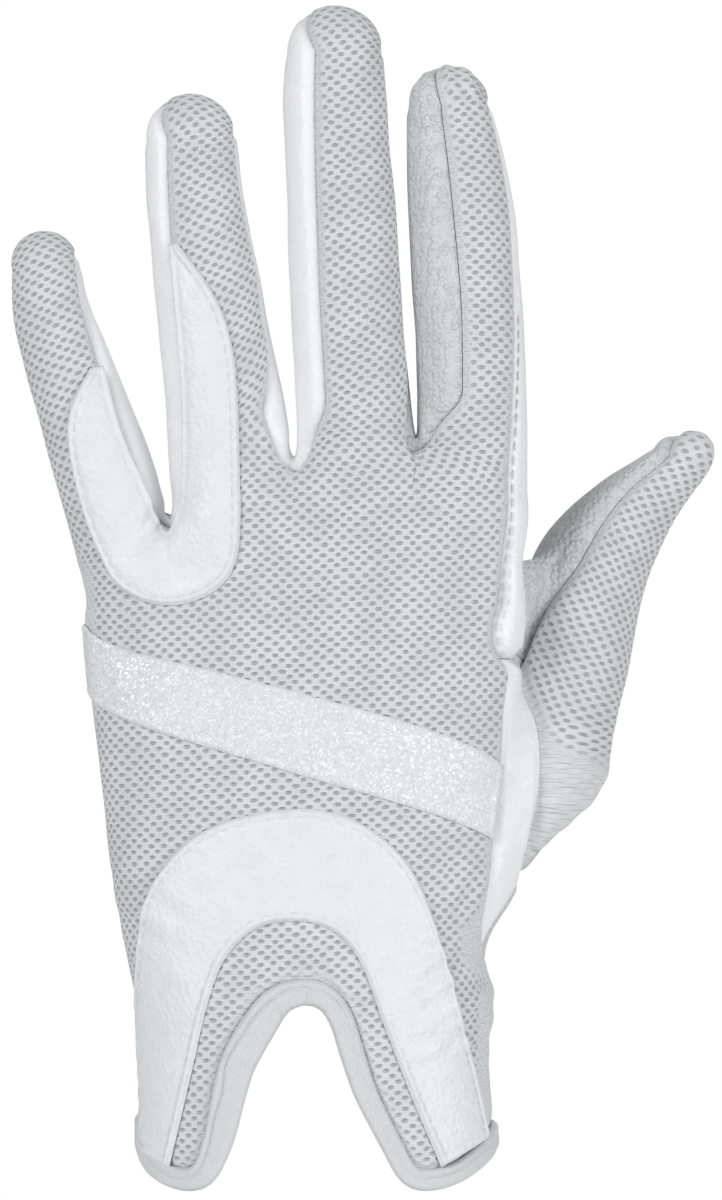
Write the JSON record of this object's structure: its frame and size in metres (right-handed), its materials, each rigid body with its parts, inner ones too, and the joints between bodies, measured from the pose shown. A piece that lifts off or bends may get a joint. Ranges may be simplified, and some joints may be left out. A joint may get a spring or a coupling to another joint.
{
  "type": "horse riding glove",
  "caption": "White left-hand riding glove with a mesh back, synthetic leather palm and fingers, a slanted glitter band and a notched, bound cuff under a horseshoe arch.",
  "frame": {"origin": "centre of the cuff's mouth, level with the lowest point of the cuff's binding", "axes": "+Z runs from the cuff to the fingertips, the back of the hand faces -Y, the palm faces +Y, and the thumb is on the +X side"},
  "size_m": [0.1344, 0.0515, 0.2253],
  "materials": {
    "air_mesh": "matt warp-knitted mesh with staggered oval holes",
    "synthetic_leather": "white, finely grained and slightly glossy",
    "glitter_fabric": "white with fine glitter",
    "binding_tape": "folded woven tape"
  },
  "bodies": {
    "root": {"back_panel": "air_mesh", "palm_panel": "synthetic_leather", "fourchette_little_ring": "synthetic_leather", "fourchette_ring_middle": "synthetic_leather", "fourchette_middle_index": "synthetic_leather", "index_strip": "synthetic_leather", "thumb_gusset": "synthetic_leather", "thumb_back": "air_mesh", "thumb_palm": "synthetic_leather", "web_patch": "synthetic_leather", "cuff_arch": "synthetic_leather", "glitter_band": "glitter_fabric", "cuff_binding": "binding_tape"}
  },
  "joints": []
}
